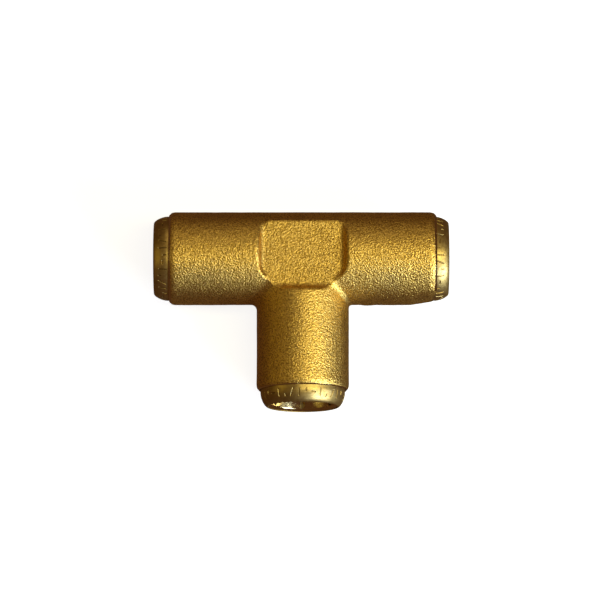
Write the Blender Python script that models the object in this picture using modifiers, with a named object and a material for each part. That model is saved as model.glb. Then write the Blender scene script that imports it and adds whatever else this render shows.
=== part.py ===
"""Push-to-connect union tee for 12.7 mm air brake tube: a forged brass body with three identical ports.

Run with: blender --background --python part.py

Frame: metres, +Z up. The middle of the body has two parallel flats, sunk between the round arms. The origin
is the middle of the lower flat, directly below the point where the three port axes cross, and the tee rests
on its arms a little lower. The run lies along X and the branch points along -Y.

Each port is modelled upright around its own +Z, which points out of the mouth, with z = 0 at the crossing
of the axes. An empty for each port then turns the port's pieces into place. The moving pieces sit on a
second empty, pushed in from the outer stop by the distance that the collar is pressed at rest.
"""

import math

import bmesh
import bpy
from mathutils import Matrix, Vector

MM = 0.001

# Driving dimensions
TUBE_RADIUS = 6.35 * MM
TUBE_BORE_RADIUS = 4.78 * MM
RUN_RADIUS = 10.2 * MM
BRANCH_RADIUS = 10.0 * MM
ARM_LENGTH = 29.3 * MM
AXIS_HEIGHT = 8.0 * MM
RELEASE_TRAVEL = 2.0 * MM
COLLAR_STAND_OUT = 3.6 * MM

# Port name, rotation of its empty, and how far its collar is already pushed in at rest
PORTS = (
    ("left", (0.0, math.radians(-90), 0.0), 0.25 * MM),
    ("right", (0.0, math.radians(90), 0.0), 0.90 * MM),
    ("branch", (math.radians(90), math.radians(-90), 0.0), 0.0),
)

# Facets round each turned piece: mating faces share a count, so that their flats line up
PORT_STEPS = 32
ARM_STEPS = 48
SUPPORT_STEPS = 24
SEAL_SECTION_STEPS = 8
MERGE_WITHIN = 1e-6

# Clearances
PRESS_GAP = 0.10 * MM
SLIDE_GAP = 0.10 * MM
TURN_GAP = 0.15 * MM

# Body
ARM_CHAMFER_LENGTH = 0.9 * MM
ARM_CHAMFER_DEPTH = 0.45 * MM
FLAT_HALF_WIDTH = 9.0 * MM
FLAT_BACK = 7.4 * MM
FLAT_FRONT = 7.6 * MM
FLAT_CORNER_CUT = 3.3 * MM
FLAT_WALL_LEAN = math.radians(15)
BLOCK_INSET = 0.05 * MM
CUT_BEYOND = 1.0 * MM

# Stepped bore of a port, from the flow passage outwards
PASSAGE_RADIUS = 4.3 * MM
SUPPORT_SEAT_START = 7.8 * MM
SUPPORT_SEAT_RADIUS = 5.6 * MM
TUBE_STOP = 9.8 * MM
SOCKET_RADIUS = TUBE_RADIUS + SLIDE_GAP
GLAND_START = 13.2 * MM
GLAND_RADIUS = 8.45 * MM
GLAND_END = 16.2 * MM
JAW_CHAMBER_RADIUS = 8.75 * MM
RETAINER_SEAT_START = 20.9 * MM
RETAINER_SEAT_RADIUS = 9.1 * MM
RETAINER_SEAT_END = 24.3 * MM
MOUTH_RADIUS = 9.4 * MM

# Tube support
SUPPORT_RADIUS = TUBE_BORE_RADIUS - 0.13 * MM
SUPPORT_BORE_RADIUS = 4.0 * MM
SUPPORT_END = 23.2 * MM
SUPPORT_NOSE_LENGTH = 0.6 * MM
SUPPORT_NOSE_DEPTH = 0.3 * MM

# Tube seal and its spacer
SEAL_SECTION_RADIUS = 1.05 * MM
SEAL_CENTRE_RADIUS = 7.3 * MM
SPACER_THICKNESS = 0.9 * MM
SPACER_START = GLAND_END + 0.15 * MM
SPACER_BORE_RADIUS = TUBE_RADIUS + TURN_GAP

# Collet retainer
RETAINER_THICKNESS = 3.0 * MM
RETAINER_BORE_RADIUS = 7.3 * MM
RETAINER_CONE_RADIUS = 8.3 * MM
RETAINER_CONE_LENGTH = 1.8 * MM

# Release collar, at the outer stop
FACE = ARM_LENGTH + COLLAR_STAND_OUT
COLLAR_LENGTH = 5.7 * MM
COLLAR_RADIUS = 9.25 * MM
COLLAR_BORE_RADIUS = 7.2 * MM
COLLAR_NOSE_LENGTH = 3.0 * MM
COLLAR_NOSE_POWER = 1.6
COLLAR_RIM_RADIUS = 7.75 * MM
COLLAR_RECESS_RADIUS = 7.6 * MM
COLLAR_RECESS_DEPTH = 1.0 * MM
COLLAR_NOSE_POINTS = 6
SEAL_GROOVE_START = 0.7 * MM
SEAL_GROOVE_WIDTH = 0.9 * MM
SEAL_GROOVE_RADIUS = 8.55 * MM
DUST_SEAL_RADIUS = 9.32 * MM
DUST_SEAL_SIDE_GAP = 0.05 * MM

# Grip collet, at the outer stop
COLLET_FRONT = FACE - 0.15 * MM
COLLET_BORE_RADIUS = 6.5 * MM
COLLET_SLEEVE_RADIUS = 7.1 * MM
COLLET_FLANGE_RADIUS = 7.5 * MM
COLLET_FLANGE_REAR = FACE - COLLAR_RECESS_DEPTH + 0.08 * MM
LEAD_IN_RADIUS = 7.3 * MM
LEAD_IN_DEPTH = 1.15 * MM
BEAD_RADIUS = 7.55 * MM
BEAD_FRONT = FACE - COLLAR_LENGTH - SLIDE_GAP
BEAD_LAND = 0.3 * MM
BEAD_RAMP = 0.4 * MM
JAW_TIP = 19.5 * MM
JAW_RADIUS = 8.1 * MM
JAW_LENGTH = 1.3 * MM
JAW_CONE_LENGTH = 1.8 * MM
JAW_ENTRY_RADIUS = 7.0 * MM
TOOTH_COUNT = 2
TOOTH_PITCH = 1.1 * MM
TOOTH_RADIUS = 6.3 * MM
TOOTH_ROOT_RADIUS = 6.65 * MM
TOOTH_ENTRY_LENGTH = 0.4 * MM
TOOTH_BACK_LENGTH = 0.8 * MM
SLOT_COUNT = 6
SLOT_WIDTH = 1.1 * MM
SLOT_FRONT_WALL = 0.65 * MM


def clear_scene():
    for obj in list(bpy.data.objects):
        bpy.data.objects.remove(obj, do_unlink=True)


def new_collection(name):
    collection = bpy.data.collections.new(name)
    bpy.context.scene.collection.children.link(collection)
    return collection


def new_material(name, colour, roughness, metallic):
    material = bpy.data.materials.new(name)
    material.use_nodes = True
    shader = material.node_tree.nodes["Principled BSDF"]
    shader.inputs["Base Color"].default_value = (*colour, 1.0)
    shader.inputs["Roughness"].default_value = roughness
    shader.inputs["Metallic"].default_value = metallic
    material.diffuse_color = (*colour, 1.0)
    return material


def new_object(name, data, collection, material=None):
    obj = bpy.data.objects.new(name, data)
    collection.objects.link(obj)
    if material:
        data.materials.append(material)
    return obj


def hide_helper(obj):
    obj.hide_render = True
    obj.display_type = "WIRE"


def apply_modifiers(obj, material=None):
    """Replaces the object's data by its evaluated mesh, shaded smooth except at its edges."""
    bpy.context.view_layer.update()
    evaluated = obj.evaluated_get(bpy.context.evaluated_depsgraph_get())
    mesh = bpy.data.meshes.new_from_object(evaluated)
    mesh.name = obj.name
    obj.modifiers.clear()
    obj.data = mesh
    mesh.materials.clear()
    if material:
        mesh.materials.append(material)
    mesh.shade_smooth()
    mesh.set_sharp_from_angle(angle=math.radians(30))


def turned(name, profile, steps, collection, material=None):
    """A solid of revolution round Z. The profile lists (z, radius), down the outer side and back up the
    inner side. A profile that starts and ends on the axis is left open there."""
    mesh = bpy.data.meshes.new(name)
    points = [(radius, 0.0, z) for z, radius in profile]
    edges = [(i, i + 1) for i in range(len(points) - 1)]
    if profile[0][1] > 0.0:
        edges.append((len(points) - 1, 0))
    mesh.from_pydata(points, edges, [])
    obj = new_object(name, mesh, collection)
    screw = obj.modifiers.new("Turn", "SCREW")
    screw.steps = steps
    screw.render_steps = steps
    screw.use_merge_vertices = True
    screw.merge_threshold = MERGE_WITHIN
    apply_modifiers(obj, material)
    return obj


def add_boolean(obj, other, operation):
    boolean = obj.modifiers.new(f"{operation} {other.name}", "BOOLEAN")
    boolean.operation = operation
    boolean.object = other
    boolean.solver = "EXACT"


def place(obj, parent):
    obj.parent = parent


# ---- Body ------------------------------------------------------------------


def arm_profile(radius):
    """An arm's outside, from the mouth down to the crossing, chamfered at the mouth."""
    return [
        (ARM_LENGTH, 0.0),
        (ARM_LENGTH, radius - ARM_CHAMFER_DEPTH),
        (ARM_LENGTH - ARM_CHAMFER_LENGTH, radius),
        (0.0, radius),
        (0.0, 0.0),
    ]


def run_profile():
    """The run's outside, from mouth to mouth, chamfered at both."""
    upper = arm_profile(RUN_RADIUS)[:3]
    lower = [(-z, radius) for z, radius in reversed(upper)]
    return upper + lower


def bore_profile():
    """The stepped hole of a port, from past the mouth down to the crossing of the axes."""
    mouth_end = ARM_LENGTH + CUT_BEYOND
    return [
        (mouth_end, 0.0),
        (mouth_end, MOUTH_RADIUS),
        (RETAINER_SEAT_END, MOUTH_RADIUS),
        (RETAINER_SEAT_END, RETAINER_SEAT_RADIUS),
        (RETAINER_SEAT_START, RETAINER_SEAT_RADIUS),
        (RETAINER_SEAT_START, JAW_CHAMBER_RADIUS),
        (GLAND_END, JAW_CHAMBER_RADIUS),
        (GLAND_END, GLAND_RADIUS),
        (GLAND_START, GLAND_RADIUS),
        (GLAND_START, SOCKET_RADIUS),
        (TUBE_STOP, SOCKET_RADIUS),
        (TUBE_STOP, SUPPORT_SEAT_RADIUS),
        (SUPPORT_SEAT_START, SUPPORT_SEAT_RADIUS),
        (SUPPORT_SEAT_START, PASSAGE_RADIUS),
        (-PASSAGE_RADIUS / 2, PASSAGE_RADIUS),
        (-PASSAGE_RADIUS / 2, 0.0),
    ]


def flat_outline(spread, back):
    """The flat's outline in plan, grown by spread, with its back edge at y = back. Its branch-side corners
    are cut off where the run and the branch meet."""
    width = FLAT_HALF_WIDTH + spread
    front = FLAT_FRONT + spread
    corner_cut = FLAT_CORNER_CUT + (2.0 - math.sqrt(2.0)) * spread
    half = [
        (width, back),
        (width, corner_cut - front),
        (width - corner_cut, -front),
    ]
    return half + [(-x, y) for x, y in reversed(half)]


def prism(name, sections, collection):
    """A closed solid between outlines with equally many points, each given with its height."""
    edit = bmesh.new()
    rings = [[edit.verts.new((x, y, z)) for x, y in outline] for z, outline in sections]
    for lower, upper in zip(rings, rings[1:]):
        for i in range(len(lower)):
            following = (i + 1) % len(lower)
            edit.faces.new((lower[i], lower[following], upper[following], upper[i]))
    edit.faces.new(rings[0])
    edit.faces.new(rings[-1])
    bmesh.ops.recalc_face_normals(edit, faces=edit.faces)
    mesh = bpy.data.meshes.new(name)
    edit.to_mesh(mesh)
    edit.free()
    return new_object(name, mesh, collection)


def centre_block(collection):
    """The forged block through the crossing. It fills the flats out where the arms fall away."""
    outline = flat_outline(-BLOCK_INSET, FLAT_BACK)
    height = AXIS_HEIGHT + BLOCK_INSET
    return prism("centre_block", [(-height, outline), (height, outline)], collection)


def flat_cutter(name, side, collection):
    """Clears the arms away over one flat, upper (side 1) or lower (side -1), leaving walls that lean out."""
    rise = RUN_RADIUS + CUT_BEYOND - AXIS_HEIGHT
    back = RUN_RADIUS + CUT_BEYOND
    sections = [
        (side * AXIS_HEIGHT, flat_outline(0.0, back)),
        (side * (AXIS_HEIGHT + rise), flat_outline(rise * math.tan(FLAT_WALL_LEAN), back)),
    ]
    return prism(name, sections, collection)


def tee_body(parts, cutters, ports, material):
    """The forging: run, branch and centre block as one solid, with two flats sunk into it and a stepped hole
    bored in from each mouth."""
    run = turned("tee_body", run_profile(), ARM_STEPS, parts, material)
    place(run, ports["right"])
    branch = turned("branch_arm", arm_profile(BRANCH_RADIUS), ARM_STEPS, cutters)
    place(branch, ports["branch"])
    block = centre_block(cutters)
    flats = (flat_cutter("upper_flat_cutter", 1, cutters), flat_cutter("lower_flat_cutter", -1, cutters))
    for piece in (block, *flats):
        piece.location.z = AXIS_HEIGHT
    steps = [(branch, "UNION"), (block, "UNION")] + [(flat, "DIFFERENCE") for flat in flats]
    for port, empty in ports.items():
        bore = turned(f"{port}_bore", bore_profile(), PORT_STEPS, cutters)
        place(bore, empty)
        steps.append((bore, "DIFFERENCE"))
    for other, operation in steps:
        hide_helper(other)
        add_boolean(run, other, operation)
    return run


# ---- Fixed pieces of a port -----------------------------------------------


def tube_support(port, parts, empty, material):
    """The flanged sleeve pressed into the tube stop, which holds the tube's wall up from inside."""
    base_top = TUBE_STOP - 2 * PRESS_GAP
    base_bottom = SUPPORT_SEAT_START + PRESS_GAP
    base_radius = SUPPORT_SEAT_RADIUS - PRESS_GAP
    nose_radius = SUPPORT_RADIUS - SUPPORT_NOSE_DEPTH
    profile = [
        (SUPPORT_END, nose_radius),
        (SUPPORT_END - SUPPORT_NOSE_LENGTH, SUPPORT_RADIUS),
        (base_top, SUPPORT_RADIUS),
        (base_top, base_radius),
        (base_bottom, base_radius),
        (base_bottom, SUPPORT_BORE_RADIUS),
        (SUPPORT_END, SUPPORT_BORE_RADIUS),
    ]
    support = turned(f"{port}_tube_support", profile, SUPPORT_STEPS, parts, material)
    place(support, empty)


def tube_seal(port, parts, empty, material):
    """The O-ring in the gland."""
    middle = (GLAND_START + GLAND_END) / 2
    profile = []
    for step in range(SEAL_SECTION_STEPS):
        angle = 2 * math.pi * step / SEAL_SECTION_STEPS
        z = middle + SEAL_SECTION_RADIUS * math.cos(angle)
        radius = SEAL_CENTRE_RADIUS + SEAL_SECTION_RADIUS * math.sin(angle)
        profile.append((z, radius))
    seal = turned(f"{port}_tube_seal", profile, PORT_STEPS, parts, material)
    place(seal, empty)


def seal_spacer(port, parts, empty, material):
    """The washer that closes the gland and keeps the jaws off the O-ring."""
    outer = JAW_CHAMBER_RADIUS - PRESS_GAP
    end = SPACER_START + SPACER_THICKNESS
    profile = [
        (end, outer),
        (SPACER_START, outer),
        (SPACER_START, SPACER_BORE_RADIUS),
        (end, SPACER_BORE_RADIUS),
    ]
    spacer = turned(f"{port}_seal_spacer", profile, PORT_STEPS, parts, material)
    place(spacer, empty)


def collet_retainer(port, parts, empty, material):
    """The ring pressed into the mouth. Its cone closes the jaws on a tube that is pulled outwards."""
    outer = RETAINER_SEAT_RADIUS - PRESS_GAP
    start = RETAINER_SEAT_START + PRESS_GAP
    end = start + RETAINER_THICKNESS
    profile = [
        (end, outer),
        (start, outer),
        (start, RETAINER_CONE_RADIUS),
        (start + RETAINER_CONE_LENGTH, RETAINER_BORE_RADIUS),
        (end, RETAINER_BORE_RADIUS),
    ]
    retainer = turned(f"{port}_collet_retainer", profile, PORT_STEPS, parts, material)
    place(retainer, empty)


# ---- Moving pieces of a port ----------------------------------------------


def collar_nose():
    """The collar's rounded front, from the rim back to the cylinder: a quarter of a superellipse."""
    reach = COLLAR_RADIUS - COLLAR_RIM_RADIUS
    power = 2 / COLLAR_NOSE_POWER
    points = []
    for step in range(COLLAR_NOSE_POINTS):
        angle = math.pi / 2 * step / (COLLAR_NOSE_POINTS - 1)
        z = FACE - COLLAR_NOSE_LENGTH * (1.0 - abs(math.cos(angle)) ** power)
        points.append((z, COLLAR_RIM_RADIUS + reach * math.sin(angle) ** power))
    return points


def release_collar(port, parts, empty, material):
    """The ring that a thumb presses to let the tube go. It turns freely on the collet."""
    rear = FACE - COLLAR_LENGTH
    groove_rear = rear + SEAL_GROOVE_START
    groove_front = groove_rear + SEAL_GROOVE_WIDTH
    recess_floor = FACE - COLLAR_RECESS_DEPTH
    profile = collar_nose() + [
        (groove_front, COLLAR_RADIUS),
        (groove_front, SEAL_GROOVE_RADIUS),
        (groove_rear, SEAL_GROOVE_RADIUS),
        (groove_rear, COLLAR_RADIUS),
        (rear, COLLAR_RADIUS),
        (rear, COLLAR_BORE_RADIUS),
        (recess_floor, COLLAR_BORE_RADIUS),
        (recess_floor, COLLAR_RECESS_RADIUS),
        (FACE, COLLAR_RECESS_RADIUS),
    ]
    collar = turned(f"{port}_release_collar", profile, PORT_STEPS, parts, material)
    place(collar, empty)


def dust_seal(port, parts, empty, material):
    """The square rubber ring in the collar's groove, which wipes the body's mouth."""
    start = FACE - COLLAR_LENGTH + SEAL_GROOVE_START + DUST_SEAL_SIDE_GAP
    end = start + SEAL_GROOVE_WIDTH - 2 * DUST_SEAL_SIDE_GAP
    inner = SEAL_GROOVE_RADIUS + DUST_SEAL_SIDE_GAP
    profile = [
        (end, DUST_SEAL_RADIUS),
        (start, DUST_SEAL_RADIUS),
        (start, inner),
        (end, inner),
    ]
    seal = turned(f"{port}_dust_seal", profile, PORT_STEPS, parts, material)
    place(seal, empty)


def tooth_profile():
    """The teeth inside the jaws, from the tip outwards: each bites where it is sharpest."""
    points = []
    z = JAW_TIP + TOOTH_ENTRY_LENGTH
    for _ in range(TOOTH_COUNT):
        points.append((z, TOOTH_RADIUS))
        points.append((z + TOOTH_BACK_LENGTH, TOOTH_ROOT_RADIUS))
        z += TOOTH_PITCH
    points.append((z, TOOTH_RADIUS))
    points.append((z + TOOTH_BACK_LENGTH, COLLET_BORE_RADIUS))
    return points


def collet_profile():
    jaw_front = JAW_TIP + JAW_LENGTH
    return [
        (COLLET_FRONT, COLLET_FLANGE_RADIUS),
        (COLLET_FLANGE_REAR, COLLET_FLANGE_RADIUS),
        (COLLET_FLANGE_REAR, COLLET_SLEEVE_RADIUS),
        (BEAD_FRONT, COLLET_SLEEVE_RADIUS),
        (BEAD_FRONT, BEAD_RADIUS),
        (BEAD_FRONT - BEAD_LAND, BEAD_RADIUS),
        (BEAD_FRONT - BEAD_LAND - BEAD_RAMP, COLLET_SLEEVE_RADIUS),
        (jaw_front + JAW_CONE_LENGTH, COLLET_SLEEVE_RADIUS),
        (jaw_front, JAW_RADIUS),
        (JAW_TIP, JAW_RADIUS),
        (JAW_TIP, JAW_ENTRY_RADIUS),
        *tooth_profile(),
        (COLLET_FRONT - LEAD_IN_DEPTH, COLLET_BORE_RADIUS),
        (COLLET_FRONT, LEAD_IN_RADIUS),
    ]


def slot_cutter(port, cutters):
    """One box for each slot, from past the jaws' tips to just short of the collet's front."""
    bottom = JAW_TIP - CUT_BEYOND
    top = COLLET_FRONT - SLOT_FRONT_WALL
    inner = COLLET_BORE_RADIUS - CUT_BEYOND
    outer = JAW_RADIUS + CUT_BEYOND
    size = Vector((outer - inner, SLOT_WIDTH, top - bottom))
    middle = Vector(((outer + inner) / 2, 0.0, (top + bottom) / 2))
    edit = bmesh.new()
    for slot in range(SLOT_COUNT):
        turn = Matrix.Rotation(2 * math.pi * slot / SLOT_COUNT, 4, "Z")
        shape = Matrix.Translation(middle) @ Matrix.Diagonal((*size, 1.0))
        bmesh.ops.create_cube(edit, size=1.0, matrix=turn @ shape)
    mesh = bpy.data.meshes.new(f"{port}_slots")
    edit.to_mesh(mesh)
    edit.free()
    cutter = new_object(f"{port}_slots", mesh, cutters)
    hide_helper(cutter)
    return cutter


def grip_collet(port, parts, cutters, empty, material):
    """The slotted sleeve that grips the tube. Its flange and bead carry the collar."""
    name = f"{port}_grip_collet"
    collet = turned(name, collet_profile(), PORT_STEPS, parts, material)
    place(collet, empty)
    cutter = slot_cutter(port, cutters)
    place(cutter, empty)
    add_boolean(collet, cutter, "DIFFERENCE")


def main():
    clear_scene()
    parts = new_collection("push_to_connect_tee")
    cutters = new_collection("cutters")
    forged = new_material("forged_brass", (0.62, 0.42, 0.13), 0.50, 1.0)
    machined = new_material("machined_brass", (0.66, 0.49, 0.20), 0.28, 1.0)
    rubber = new_material("black_rubber", (0.02, 0.02, 0.02), 0.65, 0.0)

    ports, releases = {}, {}
    for port, rotation, pushed_in in PORTS:
        fixed = new_object(f"{port}_port", None, parts)
        fixed.location = (0.0, 0.0, AXIS_HEIGHT)
        fixed.rotation_euler = rotation
        moving = new_object(f"{port}_release", None, parts)
        moving.parent = fixed
        moving.location = (0.0, 0.0, -pushed_in)
        ports[port] = fixed
        releases[port] = moving

    tee_body(parts, cutters, ports, forged)
    for port, _, _ in PORTS:
        tube_support(port, parts, ports[port], machined)
        tube_seal(port, parts, ports[port], rubber)
        seal_spacer(port, parts, ports[port], machined)
        collet_retainer(port, parts, ports[port], machined)
        grip_collet(port, parts, cutters, releases[port], machined)
        release_collar(port, parts, releases[port], machined)
        dust_seal(port, parts, releases[port], rubber)


main()
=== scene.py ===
"""The looks of the push-to-connect union tee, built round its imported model.

Lengths are in metres. A port's pieces are made upright round their own +Z, which points out of the mouth,
with z = 0 where the port axes cross, and each is then turned into place as a whole.
"""

import itertools
import math

import bmesh
import bpy
import numpy as np
from mathutils import Matrix, Vector, noise


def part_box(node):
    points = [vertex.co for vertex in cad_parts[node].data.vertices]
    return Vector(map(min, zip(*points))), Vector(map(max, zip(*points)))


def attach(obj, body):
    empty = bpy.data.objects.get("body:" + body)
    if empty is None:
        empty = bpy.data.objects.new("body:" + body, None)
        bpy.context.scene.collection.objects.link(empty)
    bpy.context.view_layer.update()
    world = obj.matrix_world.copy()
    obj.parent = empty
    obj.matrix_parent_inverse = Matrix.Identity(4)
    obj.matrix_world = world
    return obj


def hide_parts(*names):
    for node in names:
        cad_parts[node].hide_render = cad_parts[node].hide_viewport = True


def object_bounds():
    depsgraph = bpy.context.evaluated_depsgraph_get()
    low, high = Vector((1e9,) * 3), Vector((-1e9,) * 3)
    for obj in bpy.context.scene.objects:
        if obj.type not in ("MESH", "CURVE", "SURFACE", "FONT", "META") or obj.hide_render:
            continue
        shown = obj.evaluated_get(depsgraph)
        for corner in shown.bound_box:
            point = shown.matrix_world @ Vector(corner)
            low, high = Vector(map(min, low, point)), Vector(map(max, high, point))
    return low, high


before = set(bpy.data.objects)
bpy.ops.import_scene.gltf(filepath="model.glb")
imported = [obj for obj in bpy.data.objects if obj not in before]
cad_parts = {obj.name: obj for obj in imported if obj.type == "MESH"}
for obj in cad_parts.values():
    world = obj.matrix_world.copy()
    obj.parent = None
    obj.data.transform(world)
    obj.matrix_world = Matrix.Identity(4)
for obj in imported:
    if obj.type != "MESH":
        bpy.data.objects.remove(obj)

cad_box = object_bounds()

MM = 0.001
UP = Vector((0, 0, 1))
OUTWARD = {
    "left": Vector((-1, 0, 0)),
    "right": Vector((1, 0, 0)),
    "branch": Vector((0, -1, 0)),
}

body_low, body_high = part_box("tee_body")
AXIS_HEIGHT = (body_low.z + body_high.z) / 2
# The origin is on the lower flat, so each flat is as far from the axes as the origin is
FLAT_HEIGHT = AXIS_HEIGHT
ARM_LENGTH = body_high.x
ARM_RADIUS = body_high.y
BRANCH_RADIUS = ARM_RADIUS - 0.2 * MM


# ---- Places read from the frame --------------------------------------------------


def port_matrix(port):
    """Turns upright pieces into a port: their +Z points outwards and their +X up."""
    out = OUTWARD[port]
    turn = Matrix((UP, out.cross(UP), out)).transposed()
    return Matrix.Translation(UP * AXIS_HEIGHT) @ turn.to_4x4()


def span(node):
    """How far from the crossing of the axes a port's CAD node starts and ends, along the port."""
    low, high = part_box(node)
    out = OUTWARD[node.split("_")[0]]
    return sorted((low.dot(out), high.dot(out)))


def outer_radius(node):
    """Half the height of a round CAD node that lies in a port."""
    low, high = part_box(node)
    return (high.z - low.z) / 2


# ---- Shape helpers ---------------------------------------------------------------


def rounded(corners, arc_points=4):
    """A closed outline of (z, radius) points from corners (z, radius, fillet)."""
    points = []
    for i, (z, radius, fillet) in enumerate(corners):
        here = Vector((z, radius))
        if not fillet:
            points.append((z, radius))
            continue
        back = (Vector(corners[i - 1][:2]) - here).normalized()
        ahead = (Vector(corners[(i + 1) % len(corners)][:2]) - here).normalized()
        half = back.angle(ahead) / 2
        centre = here + (back + ahead).normalized() * (fillet / math.sin(half))
        start = here + back * (fillet / math.tan(half)) - centre
        end = here + ahead * (fillet / math.tan(half)) - centre
        for step in range(arc_points + 1):
            t = step / arc_points
            points.append(tuple(centre + start.lerp(end, t).normalized() * fillet))
    return points


def refined(points, spacing, z_from, z_to):
    """Adds points to the outline's stretches between two heights, for relief to be cut there."""
    result = []
    for i, point in enumerate(points):
        a, b = Vector(point), Vector(points[(i + 1) % len(points)])
        result.append(point)
        if min(a.x, b.x) >= z_from and max(a.x, b.x) <= z_to:
            parts = math.ceil((b - a).length / spacing)
            result += [tuple(a.lerp(b, k / parts)) for k in range(1, parts)]
    return result


def lathe(name, outline, steps, relief=None):
    """A solid of revolution round Z from a closed outline of (z, radius) points, down the outer side and
    back up the inner side. relief(angles, z, radius) gives how deep each point is sunk."""
    z, radius = (column[:, None] for column in np.array(outline).T)
    angles = np.linspace(0, 2 * np.pi, steps, endpoint=False)[None, :]
    depth = relief(angles, z, radius) if relief else np.zeros((len(outline), steps))
    sunk = radius - depth
    grid = np.stack((sunk * np.cos(angles), sunk * np.sin(angles), z + 0 * sunk), axis=-1)
    row = np.arange(len(outline))[:, None] * steps
    column = np.arange(steps)[None, :]
    next_row = np.roll(row, -1, axis=0)
    next_column = (column + 1) % steps
    quads = np.stack(
        (row + column, next_row + column, next_row + next_column, row + next_column), axis=-1
    )
    mesh = bpy.data.meshes.new(name)
    mesh.from_pydata(grid.reshape(-1, 3).tolist(), [], quads.reshape(-1, 4).tolist())
    if relief:
        attribute = mesh.attributes.new("stamp_depth", "FLOAT", "POINT")
        attribute.data.foreach_set("value", (depth / depth.max()).ravel().astype(np.float32))
    smooth(mesh)
    return new_object(name, mesh)


def smooth(mesh, degrees=30):
    mesh.shade_smooth()
    mesh.set_sharp_from_angle(angle=math.radians(degrees))


def new_object(name, data):
    obj = bpy.data.objects.new(name, data)
    bpy.context.scene.collection.objects.link(obj)
    return obj


def baked(obj):
    """The object's data becomes its evaluated mesh, and its modifiers go."""
    bpy.context.view_layer.update()
    evaluated = obj.evaluated_get(bpy.context.evaluated_depsgraph_get())
    mesh = bpy.data.meshes.new_from_object(evaluated)
    obj.modifiers.clear()
    obj.data = mesh


def cut(obj, cutters, **options):
    """Cuts the cutters away from the object and removes them. Options are the Boolean's own settings."""
    for cutter in cutters:
        boolean = obj.modifiers.new("Cut", "BOOLEAN")
        boolean.operation = "DIFFERENCE"
        boolean.solver = "EXACT"
        boolean.object = cutter
        for key, value in options.items():
            setattr(boolean, key, value)
    baked(obj)
    for cutter in cutters:
        bpy.data.objects.remove(cutter)


def settle(obj, node, body, material=None, port=None):
    """Puts a finished piece in its port, and tells the frame what it stands for."""
    if material:
        obj.data.materials.clear()
        obj.data.materials.append(material)
    if port:
        obj.matrix_world = port_matrix(port)
    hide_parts(node)
    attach(obj, body)


# ---- Materials -------------------------------------------------------------------


class Nodes:
    """A material under construction: adds nodes and links them by name."""

    def __init__(self, name, **uniform):
        self.material = bpy.data.materials.new(name)
        self.material.use_nodes = True
        self.tree = self.material.node_tree
        self.shader = self.tree.nodes["Principled BSDF"]
        self.feed_all(self.shader, uniform)

    def feed(self, socket, value):
        """Links a node's output to a socket, or sets the socket to a number or a colour."""
        if isinstance(value, bpy.types.NodeSocket):
            self.tree.links.new(value, socket)
        elif socket.type == "RGBA":
            socket.default_value = (*value, 1.0)
        else:
            socket.default_value = value

    def feed_all(self, node, values):
        for key, value in values.items():
            self.feed(node.inputs[key.replace("_", " ")], value)

    def add(self, kind, settings=None, **values):
        node = self.tree.nodes.new(f"ShaderNode{kind}")
        for key, value in (settings or {}).items():
            setattr(node, key, value)
        self.feed_all(node, values)
        return node

    def place(self):
        return self.add("TexCoord").outputs["Object"]

    def noise(self, vector, scale, detail=2.0, roughness=0.5):
        node = self.add("TexNoise", Vector=vector, Scale=scale, Detail=detail, Roughness=roughness)
        return node.outputs["Fac"]

    def ranged(self, value, low, high, to_low=0.0, to_high=1.0):
        node = self.add("MapRange", Value=value, From_Min=low, From_Max=high, To_Min=to_low, To_Max=to_high)
        return node.outputs["Result"]

    def math(self, operation, first, second=0.0):
        node = self.add("Math", {"operation": operation})
        self.feed(node.inputs[0], first)
        self.feed(node.inputs[1], second)
        return node.outputs["Value"]

    def mix(self, factor, first, second):
        """Mixes two colours. A Mix node's sockets 6 and 7 and its output 2 are the ones for colours."""
        node = self.add("Mix", {"data_type": "RGBA"}, Factor=factor)
        self.feed(node.inputs[6], first)
        self.feed(node.inputs[7], second)
        return node.outputs[2]

    def bump(self, height, distance, strength=1.0, normal=None):
        node = self.add("Bump", Height=height, Distance=distance, Strength=strength)
        if normal:
            self.feed(node.inputs["Normal"], normal)
        return node.outputs["Normal"]

    def to_shader(self, **sockets):
        """Feeds the shader's named sockets and hands over the finished material."""
        self.feed_all(self.shader, sockets)
        return self.material


def forged_brass():
    """Shot-blasted brass: small overlapping dents, dark where they are deep, over faint tarnished patches."""
    n = Nodes("forged_brass", Metallic=1.0)
    place = n.place()
    dents = n.noise(place, 2900.0, 1.5, 0.55)
    fine = n.noise(place, 6500.0, 1.0, 0.5)
    patches = n.noise(place, 95.0, 3.0, 0.55)
    stains = n.noise(place, 420.0, 4.0, 0.6)
    gold = n.mix(n.ranged(dents, 0.36, 0.60), (0.46, 0.27, 0.045), (0.90, 0.60, 0.15))
    worn = n.mix(n.ranged(patches, 0.45, 0.62, 0.0, 0.25), gold, (0.62, 0.42, 0.13))
    stained = n.mix(n.ranged(stains, 0.60, 0.72, 0.0, 0.35), worn, (0.30, 0.18, 0.04))
    roughness = n.ranged(n.math("ADD", patches, fine), 0.75, 1.25, 0.46, 0.34)
    peened = n.bump(dents, 0.18 * MM)
    normal = n.bump(fine, 0.03 * MM, normal=peened)
    return n.to_shader(Base_Color=stained, Roughness=roughness, Normal=normal)


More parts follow.
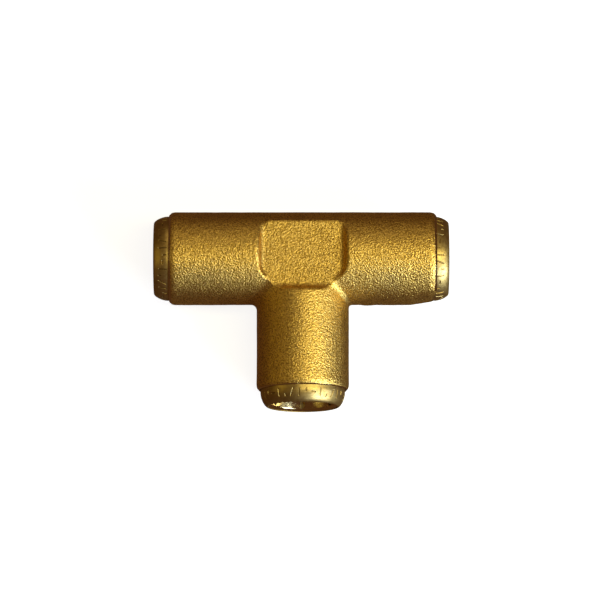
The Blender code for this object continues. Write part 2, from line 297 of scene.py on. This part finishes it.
def machined_brass():
    """Turned brass: lathe marks round the port axis, faint cloudy tarnish, and the stamped marks darker the
    deeper they are sunk.
    """
    n = Nodes("machined_brass", Metallic=1.0)
    place = n.place()
    split = n.add("SeparateXYZ", Vector=place)
    squares = [n.math("POWER", split.outputs[axis], 2.0) for axis in "XY"]
    radius = n.math("SQRT", n.math("ADD", *squares))
    turning = n.add("CombineXYZ", X=radius, Y=split.outputs["Z"]).outputs["Vector"]
    marks = n.noise(turning, 9000.0, 3.0, 0.7)
    cloud = n.noise(place, 260.0, 4.0, 0.6)
    wear = n.noise(place, 1500.0, 3.0, 0.6)
    clean = n.mix(n.ranged(marks, 0.3, 0.7), (0.50, 0.34, 0.10), (0.72, 0.52, 0.19))
    cloudy = n.mix(n.ranged(cloud, 0.42, 0.62, 0.0, 0.8), clean, (0.38, 0.25, 0.07))
    stamp = n.add("Attribute", {"attribute_name": "stamp_depth"}).outputs["Fac"]
    colour = n.mix(n.ranged(stamp, 0.1, 0.9, 0.0, 0.6), cloudy, (0.16, 0.10, 0.03))
    roughness = n.ranged(n.math("ADD", cloud, wear), 0.7, 1.3, 0.34, 0.52)
    return n.to_shader(Base_Color=colour, Roughness=roughness, Normal=n.bump(marks, 0.008 * MM, 0.8))


def polished_brass():
    """The hard, bright brass of collets and bores, with fine lines along them and a few dull spots."""
    n = Nodes("polished_brass", Metallic=1.0)
    place = n.place()
    stretched = n.add("Mapping", {"vector_type": "POINT"}, Vector=place, Scale=(1.0, 1.0, 0.08))
    lines = n.noise(stretched.outputs["Vector"], 5200.0, 2.0, 0.6)
    spots = n.noise(place, 700.0, 3.0, 0.6)
    colour = n.mix(n.ranged(spots, 0.5, 0.7, 0.0, 0.7), (0.80, 0.62, 0.28), (0.52, 0.37, 0.14))
    roughness = n.ranged(spots, 0.4, 0.7, 0.10, 0.24)
    return n.to_shader(Base_Color=colour, Roughness=roughness, Normal=n.bump(lines, 0.025 * MM))


def black_rubber():
    """Moulded nitrile rubber with a greasy sheen and dust."""
    n = Nodes("black_rubber", Metallic=0.0)
    place = n.place()
    dust = n.noise(place, 900.0, 4.0, 0.65)
    colour = n.mix(n.ranged(dust, 0.5, 0.8, 0.0, 0.6), (0.012, 0.012, 0.012), (0.07, 0.065, 0.055))
    roughness = n.ranged(dust, 0.35, 0.7, 0.38, 0.75)
    return n.to_shader(Base_Color=colour, Roughness=roughness, Normal=n.bump(dust, 0.02 * MM, 0.5))


# ---- The forging -----------------------------------------------------------------

# The flats, one above and one below, sunk between the arms' crests
FLAT_HALF_WIDTH = 9.0 * MM
FLAT_BACK = 7.4 * MM
FLAT_FRONT = 7.6 * MM
FLAT_CORNER_CUT = 3.3 * MM
FLAT_CORNER_RADIUS = 0.8 * MM
WALL_LEAN = math.radians(15)
WALL_FOOT = 0.8 * MM
WALL_RIM = 0.7 * MM

# The block through the crossing, which carries the flats a little past the run's round back
BLOCK_HALF_WIDTH = FLAT_HALF_WIDTH - 0.7 * MM
BLOCK_CORNER = 1.0 * MM
BLOCK_OVERHEIGHT = 2 * MM
BLOCK_FORWARD = 5 * MM
BACK_FILLET = 0.6 * MM

# The fillets where the branch meets the run: larger on the left, and growing with height
CROTCH_FILLET = 1.15 * MM
CROTCH_GROWTH = 0.2 * MM
CROTCH_LOPSIDEDNESS = 0.25
CROTCH_CHANGEOVER = 4 * MM

# The arms' ends, each rounded by part of a quarter of an ellipse, which is longer than the part that is
# used, and the taper ground on the right arm's branch side
END_ROUNDING_LENGTH = 1.6 * MM
END_ELLIPSE_EXCESS = 1.06
RUN_END_DEPTH = 0.62 * MM
BRANCH_END_DEPTH = 0.45 * MM
TAPER_LENGTH = 5.7 * MM
TAPER_DEPTH = 0.9 * MM
TAPER_EDGE = 0.80

# The unevenness of the forged skin, as waves per millimetre and height in millimetres, and how much calmer
# it is on the flats
HAMMER_WAVES = ((0.16, 0.05), (0.55, 0.022), (1.7, 0.012))
FLAT_CALM = 0.6

# The trimmed flash, and a lump of it that was left on the right arm's branch side
FLASH_HEIGHT = 0.10 * MM
FLASH_HALF_WIDTH = 0.35 * MM
LUMP_HEIGHT = 0.16 * MM
LUMP_PLACE = 14.2 * MM
LUMP_HALF_LENGTH = 1.3 * MM
LUMP_HALF_WIDTH = 1.6 * MM

# The grid that the skin is built on, how far it runs past the mouths before they are faced off, and the
# steps that settle its points on the surface
SKIN_CELL = 0.22 * MM
SKIN_OVERRUN = 0.8 * MM
SETTLING_STEPS = 6


def circular_union(a, b, fillet):
    """The union of two distance fields, with a round fillet where they meet."""
    u = np.maximum(fillet - a, 0)
    v = np.maximum(fillet - b, 0)
    return np.maximum(fillet, np.minimum(a, b)) - np.sqrt(u * u + v * v)


def circular_overlap(a, b, fillet):
    """What two distance fields share, with a rounded edge where they meet."""
    return -circular_union(-a, -b, fillet)


def end_drop(along, depth):
    """How far an arm's outside falls away towards its mouth: most of a quarter of an ellipse. Past the
    mouth, where the skin is cut off, the ellipse is held short of its steep end."""
    reach = along - ARM_LENGTH + END_ROUNDING_LENGTH
    t = np.clip(reach / (END_ROUNDING_LENGTH * END_ELLIPSE_EXCESS), 0, 1.05)
    drop = 1 - np.sqrt(np.maximum(1 - t * t, 0.02))
    return depth * drop / (1 - math.sqrt(1 - 1 / END_ELLIPSE_EXCESS**2))


def ground_taper(x, y, z):
    """How far the right arm's branch side is ground away towards its mouth, where the flash was heavy."""
    along = np.clip((x - ARM_LENGTH + TAPER_LENGTH) / TAPER_LENGTH, 0, 1)
    facing = np.clip((-y / np.maximum(np.hypot(y, z), 1e-9) - TAPER_EDGE) / (1 - TAPER_EDGE), 0, 1)
    return TAPER_DEPTH * along * facing * facing * (3 - 2 * facing)


def flat_walls(x, y, z):
    """Distance to the walls round a flat, negative between them. They stand on its two sides, its front and
    the cut corners between, lean outwards, and leave the back open."""
    spread = (np.abs(z) - FLAT_HEIGHT) * math.tan(WALL_LEAN)
    side = np.abs(x) - FLAT_HALF_WIDTH
    front = -y - FLAT_FRONT
    corner = (side + front + FLAT_CORNER_CUT) * math.sqrt(0.5)
    walls = circular_overlap(circular_overlap(side, front, FLAT_CORNER_RADIUS), corner, FLAT_CORNER_RADIUS)
    return (walls - spread) * math.cos(WALL_LEAN)


def forging_field(points):
    """Distance to the plain forging, negative inside."""
    x, y, z = points.T
    height = np.abs(z)
    run = np.hypot(y, z) - ARM_RADIUS + end_drop(np.abs(x), RUN_END_DEPTH) + ground_taper(x, y, z)
    branch = np.maximum(np.hypot(x, z) - BRANCH_RADIUS + end_drop(-y, BRANCH_END_DEPTH), y)
    leaning = 1 - CROTCH_LOPSIDEDNESS * np.tanh(x / CROTCH_CHANGEOVER)
    crotch = CROTCH_FILLET * leaning + CROTCH_GROWTH * (height / ARM_RADIUS) ** 2
    arms = circular_union(run, branch, crotch)
    block_side = circular_overlap(np.abs(x) - BLOCK_HALF_WIDTH, y - FLAT_BACK, BLOCK_CORNER)
    block_end = np.maximum(height - FLAT_HEIGHT - BLOCK_OVERHEIGHT, -y - BLOCK_FORWARD)
    tee = circular_union(arms, np.maximum(block_side, block_end), BACK_FILLET)
    hollow = circular_overlap(flat_walls(x, y, z), FLAT_HEIGHT - height, WALL_FOOT)
    flattened = circular_overlap(tee, -hollow, WALL_RIM)
    return np.maximum(flattened, np.maximum(np.abs(x), -y) - ARM_LENGTH - SKIN_OVERRUN)


def field_slope(points, step=0.02 * MM):
    """The forging field's gradient, which points straight out of the surface."""
    sides = [forging_field(points + step * axis) - forging_field(points - step * axis) for axis in np.eye(3)]
    return np.stack(sides, axis=-1) / (2 * step)


def inside_samples(axes):
    """Whether each point of a grid is inside the forging, worked out slice by slice."""
    y, z = (side.ravel() for side in np.meshgrid(axes[1], axes[2], indexing="ij"))
    slices = [forging_field(np.stack((np.full(y.size, x), y, z), axis=-1)) < 0 for x in axes[0]]
    return np.stack(slices).reshape([len(axis) for axis in axes])


def surface_net(inside):
    """The grid cells that the surface crosses, as (i, j, k) rows, and the quads that join those cells round
    every grid edge that the surface crosses."""
    corners = [slice(0, -1), slice(1, None)]
    count = sum(inside[place].astype(int) for place in itertools.product(corners, repeat=3))
    crossed = (count > 0) & (count < 8)
    number = np.cumsum(crossed).reshape(crossed.shape) - 1
    quads = []
    for order in ((0, 1, 2), (1, 2, 0), (2, 0, 1)):
        solid = inside.transpose(order)[:, 1:-1, 1:-1]
        cell = number.transpose(order)
        ring = np.stack((cell[:, :-1, :-1], cell[:, 1:, :-1], cell[:, 1:, 1:], cell[:, :-1, 1:]), axis=-1)
        quads.append(ring[solid[:-1] & ~solid[1:]])
        quads.append(ring[~solid[:-1] & solid[1:]][:, ::-1])
    return np.argwhere(crossed), np.concatenate(quads)


def forging_skin():
    """Points on the plain forging's surface and the small quads between them. The points start in the
    middle of the grid cells that the surface crosses, and Newton's steps settle them on it."""
    reach = ARM_LENGTH + SKIN_OVERRUN + 0.3 * MM
    radius = ARM_RADIUS + 0.5 * MM
    low = np.array((-reach, -reach, -radius))
    axes = [np.arange(a, b, SKIN_CELL) for a, b in zip(low, (reach, radius, radius))]
    cells, quads = surface_net(inside_samples(axes))
    points = low + (cells + 0.5) * SKIN_CELL
    for _ in range(SETTLING_STEPS):
        slope = field_slope(points)
        steepness = np.maximum((slope**2).sum(axis=1), 0.2)
        points -= (forging_field(points) / steepness)[:, None] * slope
    return points, quads


def hammered(points):
    """Height of the forging's own unevenness over its plain shape at each point."""
    height = np.empty(len(points))
    for i, point in enumerate(points):
        p = Vector(point) / MM
        height[i] = sum(size * noise.noise(p * waves) for waves, size in HAMMER_WAVES)
    return height * MM


def parting_line(points):
    """The trimmed flash where the dies met: a low ridge round the forging at the height of the axes."""
    x, y, z = points.T
    ridge = FLASH_HEIGHT * np.exp(-((z / FLASH_HALF_WIDTH) ** 4))
    lump = np.exp(-(((x - LUMP_PLACE) / LUMP_HALF_LENGTH) ** 4)) * np.exp(-((z / LUMP_HALF_WIDTH) ** 2))
    return ridge + LUMP_HEIGHT * lump * (y < 0)


PITS = (
    # port, distance along it, degrees from the crest towards the branch, radius, depth
    ("right", 28.3 * MM, 43.5, 0.38 * MM, 0.24 * MM),
    ("right", 23.8 * MM, 22.5, 0.20 * MM, 0.10 * MM),
    ("left", 12.5 * MM, -38.0, 0.22 * MM, 0.08 * MM),
    ("branch", 18.0 * MM, -52.0, 0.22 * MM, 0.08 * MM),
)


def pit_depth(points):
    """How deep the pits and knocks are at each point."""
    depth = np.zeros(len(points))
    for port, along, degrees, radius, deepest in PITS:
        angle = math.radians(degrees)
        aside = Vector((1, 0, 0)) if port == "branch" else Vector((0, -1, 0))
        place = OUTWARD[port] * along + (UP * math.cos(angle) + aside * math.sin(angle)) * ARM_RADIUS
        distance = np.linalg.norm(points - np.array(place), axis=1)
        depth += deepest * np.exp(-((distance / radius) ** 2))
    return depth


# A port's bore, from the mouth inwards: each step's radius, how far from the crossing it ends, and the
# fillet at its bottom
BORE_STEPS = (
    (9.4 * MM, 24.3 * MM, 0),
    (9.1 * MM, 20.9 * MM, 0),
    (8.75 * MM, 16.2 * MM, 0),
    (8.45 * MM, 13.2 * MM, 0.15 * MM),
    (6.45 * MM, 9.8 * MM, 0),
    (5.6 * MM, 7.8 * MM, 0),
    (4.3 * MM, -2.0 * MM, 0),
)
MOUTH_CHAMFER_RADIUS = 9.5 * MM
MOUTH_RIM = 0.08 * MM


def bore_outline():
    """The machined hole of a port, from beyond the mouth down to the crossing, with the faced-off end and
    the bright chamfer round it."""
    beyond = ARM_LENGTH + 2 * MM
    chamfer_reach = 2.5 * MM
    corners = [
        (beyond, MOUTH_CHAMFER_RADIUS + chamfer_reach, 0),
        (ARM_LENGTH - chamfer_reach, MOUTH_CHAMFER_RADIUS + chamfer_reach, 0),
        (ARM_LENGTH, MOUTH_CHAMFER_RADIUS, 0),
        (ARM_LENGTH, BORE_STEPS[0][0] + MOUTH_RIM, 0),
    ]
    top = ARM_LENGTH - MOUTH_RIM
    for radius, bottom, fillet in BORE_STEPS:
        corners += [(top, radius, 0), (bottom, radius, fillet)]
        top = bottom
    corners += [(top, 0.0, 0), (beyond, 0.0, 0)]
    return rounded(corners)


def solid_lathe(name, outline, steps):
    """A solid of revolution whose outline starts and ends on the axis."""
    body = lathe(name, outline, steps)
    edit = bmesh.new()
    edit.from_mesh(body.data)
    bmesh.ops.remove_doubles(edit, verts=edit.verts, dist=1e-7)
    bmesh.ops.dissolve_degenerate(edit, edges=edit.edges, dist=1e-8)
    edit.to_mesh(body.data)
    edit.free()
    return body


def tee_body(skin, bright):
    """The forging with its three bores."""
    points, quads = forging_skin()
    slope = field_slope(points)
    outwards = slope / np.maximum(np.linalg.norm(slope, axis=1, keepdims=True), 1e-6)
    on_flat = np.clip(-flat_walls(*points.T) / (1 * MM), 0, 1)
    rise = (hammered(points) + parting_line(points)) * (1 - FLAT_CALM * on_flat) - pit_depth(points)
    points += rise[:, None] * outwards + np.array((0, 0, AXIS_HEIGHT))
    mesh = bpy.data.meshes.new("forged_tee")
    mesh.from_pydata(points.tolist(), [], quads.tolist())
    tee = new_object("forged_tee", mesh)
    mesh.materials.append(skin)
    bores = []
    for port in OUTWARD:
        bore = solid_lathe(f"{port}_bore", bore_outline(), steps=128)
        bore.data.materials.append(bright)
        bore.matrix_world = port_matrix(port)
        bores.append(bore)
    # The faces that the cuts make keep the bores' bright material
    cut(tee, bores, material_mode="TRANSFER")
    smooth(tee.data, 40)
    settle(tee, "tee_body", "fitting")


# ---- Pieces of a port ------------------------------------------------------------


def tube_support(port, material):
    """The flanged sleeve that goes inside the tube."""
    node = f"{port}_tube_support"
    inner, outer = span(node)
    flange = outer_radius(node)
    outline = rounded([
        (outer, 4.35 * MM, 0.08 * MM),
        (outer - 0.6 * MM, 4.65 * MM, 0.5 * MM),
        (inner + 1.7 * MM, 4.65 * MM, 0.25 * MM),
        (inner + 1.7 * MM, flange, 0.15 * MM),
        (inner, flange, 0.15 * MM),
        (inner, 4.0 * MM, 0.2 * MM),
        (outer, 4.0 * MM, 0.12 * MM),
    ])
    piece = lathe(f"{port}_support_sleeve", outline, steps=96)
    settle(piece, node, "fitting", material, port)


def tube_seal(port, material):
    """The O-ring, with the fine moulding flash round its inside and outside, pressed flatter at its ends."""
    node = f"{port}_tube_seal"
    inner, outer = span(node)
    section = (outer - inner) / 2
    middle = (outer + inner) / 2
    centre = outer_radius(node) - section
    flash = 0.05 * MM
    points = 32
    outline = []
    for step in range(points):
        angle = 2 * math.pi * step / points
        swell = {0: -flash, points // 4: flash}.get(step % (points // 2), 0)
        reach = section + swell
        outline.append((middle + reach * math.cos(angle), centre + reach * math.sin(angle)))
    piece = lathe(f"{port}_o_ring", outline, steps=128)
    settle(piece, node, "fitting", material, port)


def seal_spacer(port, material):
    """The washer between the collet's jaws and the O-ring."""
    node = f"{port}_seal_spacer"
    inner, outer = span(node)
    rim = outer_radius(node)
    outline = rounded([
        (outer, rim, 0.12 * MM),
        (inner, rim, 0.12 * MM),
        (inner, 6.5 * MM, 0.12 * MM),
        (outer, 6.5 * MM, 0.12 * MM),
    ])
    piece = lathe(f"{port}_spacer_washer", outline, steps=96)
    settle(piece, node, "fitting", material, port)


def collet_retainer(port, material):
    """The ring pressed into the mouth, whose cone closes the collet's jaws."""
    node = f"{port}_collet_retainer"
    inner, outer = span(node)
    rim = outer_radius(node)
    outline = rounded([
        (outer, rim, 0.2 * MM),
        (inner, rim, 0.2 * MM),
        (inner, 8.3 * MM, 0.1 * MM),
        (inner + 1.8 * MM, 7.3 * MM, 0.3 * MM),
        (outer, 7.3 * MM, 0.15 * MM),
    ])
    piece = lathe(f"{port}_retaining_ring", outline, steps=128)
    settle(piece, node, "fitting", material, port)


def dust_seal(port, material):
    """The square rubber ring in the collar's groove, which wipes the mouth."""
    node = f"{port}_dust_seal"
    inner, outer = span(node)
    rim = outer_radius(node)
    outline = rounded([
        (outer, rim, 0.15 * MM),
        (inner, rim, 0.15 * MM),
        (inner, 8.6 * MM, 0.1 * MM),
        (outer, 8.6 * MM, 0.1 * MM),
    ])
    piece = lathe(f"{port}_wiper_ring", outline, steps=128)
    settle(piece, node, f"{port}_collar", material, port)


COLLAR_LIP = 7.75 * MM
COLLAR_NOSE = 3.0 * MM
COLLAR_BORE = 7.2 * MM
COLLAR_COUNTERBORE = 7.6 * MM
GROOVE_WIDTH = 0.9 * MM
GROOVE_RADIUS = 8.55 * MM

# The ring of stamped marks: how many, how deep, how soft their edges are, and how far behind the front
MARK_COUNT = 36
MARK_DEPTH = 0.11 * MM
MARK_EDGE = 0.07 * MM
MARK_BACK = 2.05 * MM
MARK_INNER_RADIUS = 8.2 * MM
# Each mark is a stroke from one (aside, along) point to another, with half its width, in millimetres
MARKS = (
    (0.00, -0.75, 0.00, 0.75, 0.13),
    (-0.28, -0.75, 0.28, 0.75, 0.12),
    (0.00, 0.40, 0.00, 0.75, 0.13),
    (0.00, -0.75, 0.00, 0.75, 0.13),
    (-0.40, 0.00, 0.40, 0.00, 0.12),
    (0.00, -0.75, 0.00, -0.10, 0.13),
)


def stroke_distance(aside, along, stroke):
    """Distance to a round-ended stroke, negative inside it."""
    start_x, start_y, end_x, end_y, half_width = (value * MM for value in stroke)
    x, y = aside - start_x, along - start_y
    run_x, run_y = end_x - start_x, end_y - start_y
    t = np.clip((x * run_x + y * run_y) / (run_x * run_x + run_y * run_y), 0, 1)
    return np.hypot(x - t * run_x, y - t * run_y) - half_width


def index_marks(front):
    """Relief for a collar's rim: a plain ring of strokes, the same six over and over."""

    def relief(angles, z, radius):
        pitch = 2 * np.pi / MARK_COUNT
        number = np.floor(angles / pitch).astype(int)
        aside = (angles - (number + 0.5) * pitch) * radius
        along = z - (front - MARK_BACK) + 0 * aside
        depth = np.zeros_like(aside)
        for kind, stroke in enumerate(MARKS):
            inside = np.clip(0.5 - stroke_distance(aside, along, stroke) / MARK_EDGE, 0, 1)
            depth = np.where(number % len(MARKS) == kind, inside * inside * (3 - 2 * inside), depth)
        return MARK_DEPTH * depth * (radius > MARK_INNER_RADIUS)

    return relief


def collar_nose(front, rim):
    """The collar's rounded front, from its lip back to its rim: a quarter of a superellipse."""
    steps = 28
    power = 2 / 1.6
    points = []
    for step in range(steps + 1):
        angle = math.pi / 2 * step / steps
        z = front - COLLAR_NOSE * (1 - abs(math.cos(angle)) ** power)
        points.append((z, COLLAR_LIP + (rim - COLLAR_LIP) * math.sin(angle) ** power))
    return points


def release_collar(port, material):
    """The turned ring that stands out of the mouth, with a groove for the dust seal."""
    node = f"{port}_release_collar"
    rear, front = span(node)
    rim = outer_radius(node)
    groove = rear + 0.7 * MM
    counterbore = front - 1.0 * MM
    outline = collar_nose(front, rim) + rounded([
        (groove + GROOVE_WIDTH, rim, 0.06 * MM),
        (groove + GROOVE_WIDTH, GROOVE_RADIUS, 0.06 * MM),
        (groove, GROOVE_RADIUS, 0.06 * MM),
        (groove, rim, 0.06 * MM),
        (rear, rim, 0.15 * MM),
        (rear, COLLAR_BORE, 0.1 * MM),
        (counterbore, COLLAR_BORE, 0.06 * MM),
        (counterbore, COLLAR_COUNTERBORE, 0.06 * MM),
        (front, COLLAR_COUNTERBORE, 0.07 * MM),
    ])
    stamped = refined(outline, 0.08 * MM, front - COLLAR_NOSE - 0.2 * MM, front - 0.8 * MM)
    piece = lathe(f"{port}_collar_ring", stamped, steps=720, relief=index_marks(front))
    settle(piece, node, f"{port}_collar", material, port)


SLEEVE_RADIUS = 7.1 * MM
BEAD_RADIUS = 7.55 * MM
JAW_RADIUS = 8.1 * MM
TOOTH_TIP = 6.3 * MM
TOOTH_ROOT = 6.65 * MM
COLLET_BORE = 6.5 * MM


def collet_outline(front, tip):
    """The grip collet's section: flange, sleeve, bead, cone and toothed jaws."""
    bead = front - 5.65 * MM
    flange = front - 0.77 * MM
    corners = [
        (front, 7.5 * MM, 0.06 * MM),
        (flange, 7.5 * MM, 0.06 * MM),
        (flange, SLEEVE_RADIUS, 0.1 * MM),
        (bead, SLEEVE_RADIUS, 0.05 * MM),
        (bead, BEAD_RADIUS, 0.06 * MM),
        (bead - 0.3 * MM, BEAD_RADIUS, 0.1 * MM),
        (bead - 0.7 * MM, SLEEVE_RADIUS, 0.2 * MM),
        (tip + 3.1 * MM, SLEEVE_RADIUS, 0.4 * MM),
        (tip + 1.3 * MM, JAW_RADIUS, 0.1 * MM),
        (tip, JAW_RADIUS, 0.1 * MM),
        (tip, 7.0 * MM, 0.1 * MM),
    ]
    tooth = tip + 0.4 * MM
    tooth_slope = 0.8 * MM
    for _ in range(2):
        corners += [(tooth, TOOTH_TIP, 0), (tooth + tooth_slope, TOOTH_ROOT, 0)]
        tooth += 1.1 * MM
    corners += [
        (tooth, TOOTH_TIP, 0),
        (tooth + tooth_slope, COLLET_BORE, 0),
        (front - 3.0 * MM, COLLET_BORE, 0.5 * MM),
        (front - 0.5 * MM, 6.95 * MM, 0.4 * MM),
        (front, 7.38 * MM, 0.05 * MM),
    ]
    return rounded(corners)


def slot_cutter(port, front, tip):
    """Six round-ended slots, from past the jaws' tips to just short of the collet's front."""
    slots = 6
    width = 1.1 * MM
    reach = 3.6 * MM
    middle = 7.3 * MM
    start = tip - 1 * MM
    end = front - 0.65 * MM - width / 2
    edit = bmesh.new()
    for slot in range(slots):
        turn = Matrix.Rotation(math.radians(360 / slots * slot), 4, "Z")
        shank = Matrix.Translation((middle, 0, (start + end) / 2))
        size = Matrix.Diagonal((reach, width, end - start, 1))
        bmesh.ops.create_cube(edit, size=1, matrix=turn @ shank @ size)
        across = Matrix.Translation((middle, 0, end)) @ Matrix.Rotation(math.pi / 2, 4, "Y")
        bmesh.ops.create_cone(
            edit, cap_ends=True, segments=32, radius1=width / 2, radius2=width / 2, depth=reach - 0.1 * MM,
            matrix=turn @ across,
        )
    mesh = bpy.data.meshes.new(f"{port}_slots")
    edit.to_mesh(mesh)
    edit.free()
    return new_object(f"{port}_slots", mesh)


def grip_collet(port, material):
    """The slotted brass sleeve that grips the tube."""
    node = f"{port}_grip_collet"
    tip, front = span(node)
    piece = lathe(f"{port}_collet_sleeve", collet_outline(front, tip), steps=144)
    # Each slot's block and its round end overlap in the one cutter
    cut(piece, [slot_cutter(port, front, tip)], use_self=True)
    smooth(piece.data)
    settle(piece, node, f"{port}_collet", material, port)


# ---- Stage -----------------------------------------------------------------------

CAMERA_DISTANCE = 1.1
CAMERA_LENS = 301.0
CAMERA_TILT = 9.8
LOOK_AT = Vector((-0.6 * MM, -9.2 * MM, AXIS_HEIGHT))
LAMP_DISTANCE = 0.5
ROOM_COLOUR = (1.0, 0.47, 0.22, 1.0)
ROOM_STRENGTH = 0.087
FLOOR_SIZE = 3.0
FLOOR_GLOW = 0.88


def towards(degrees_to_right, degrees_to_front):
    """The direction that leans so far from straight up to the right and to the front."""
    return Vector((
        math.tan(math.radians(degrees_to_right)), -math.tan(math.radians(degrees_to_front)), 1
    )).normalized()


def aimed(direction):
    """Axes for something whose local Z points in a direction and whose local X stays level with the run."""
    out = direction.normalized()
    right = Vector((0, 1, 0)).cross(out).normalized()
    return Matrix((right, out.cross(right), out)).transposed().to_euler()


def camera():
    """Looks almost straight down, from a little in front of the branch."""
    data = bpy.data.cameras.new("camera")
    data.lens = CAMERA_LENS
    data.clip_end = 10
    obj = new_object("camera", data)
    away = towards(0, CAMERA_TILT)
    obj.location = LOOK_AT + away * CAMERA_DISTANCE
    obj.rotation_euler = aimed(away)
    bpy.context.scene.camera = obj


def area_light(name, direction, size, watts, colour):
    """A rectangular lamp that shines on the crossing of the axes from a direction."""
    data = bpy.data.lights.new(name, "AREA")
    data.shape = "RECTANGLE"
    data.size, data.size_y = size
    data.energy = watts
    data.color = colour
    obj = new_object(name, data)
    obj.location = Vector((0, 0, AXIS_HEIGHT)) + direction.normalized() * LAMP_DISTANCE
    obj.rotation_euler = aimed(direction)


def lights():
    """A long key lamp over the right arm, a cool one low on its branch side, and two weak ones behind and
    on the left."""
    area_light("key", towards(28, 4), (0.55, 0.12), 1.28, (1.0, 0.94, 0.50))
    area_light("cool_side", Vector((0.75, -0.6, 0.4)), (0.3, 0.3), 3.3, (0.63, 0.77, 1.0))
    area_light("back", towards(0, -48), (0.26, 0.26), 0.20, (1.0, 0.85, 0.5))
    area_light("left", towards(-60, 0), (0.26, 0.26), 0.10, (1.0, 0.86, 0.2))


def studio():
    """A dim, warm room for the brass to mirror, behind a white backdrop that only the camera sees."""
    world = bpy.data.worlds.new("studio")
    world.use_nodes = True
    tree = world.node_tree
    room = tree.nodes["Background"]
    room.inputs["Color"].default_value = ROOM_COLOUR
    room.inputs["Strength"].default_value = ROOM_STRENGTH
    backdrop = tree.nodes.new("ShaderNodeBackground")
    backdrop.inputs["Color"].default_value = (1, 1, 1, 1)
    choice = tree.nodes.new("ShaderNodeMixShader")
    tree.links.new(tree.nodes.new("ShaderNodeLightPath").outputs["Is Camera Ray"], choice.inputs[0])
    tree.links.new(room.outputs["Background"], choice.inputs[1])
    tree.links.new(backdrop.outputs["Background"], choice.inputs[2])
    tree.links.new(choice.outputs["Shader"], tree.nodes["World Output"].inputs["Surface"])
    bpy.context.scene.world = world
    bpy.context.scene.view_settings.view_transform = "Standard"


def floor():
    """A white floor that glows a little, so that it stays pale under the dim lamps, and that the brass
    doesn't mirror."""
    bpy.ops.mesh.primitive_plane_add(size=FLOOR_SIZE, location=(0, 0, cad_box[0].z))
    plane = bpy.context.object
    plane.name = "floor"
    white = (1.0, 1.0, 1.0)
    n = Nodes("pale_floor", Roughness=0.9, Emission_Color=white, Emission_Strength=FLOOR_GLOW)
    tone = n.ranged(n.noise(n.place(), 40.0), 0.3, 0.7)
    colour = n.mix(tone, (0.44, 0.44, 0.44), (0.47, 0.47, 0.47))
    plane.data.materials.append(n.to_shader(Base_Color=colour))
    plane.visible_glossy = False


def main():
    camera()
    lights()
    studio()
    floor()
    forged, machined, polished, rubber = forged_brass(), machined_brass(), polished_brass(), black_rubber()
    tee_body(forged, polished)
    for port in OUTWARD:
        tube_support(port, machined)
        tube_seal(port, rubber)
        seal_spacer(port, machined)
        collet_retainer(port, machined)
        grip_collet(port, polished)
        release_collar(port, machined)
        dust_seal(port, rubber)


main()
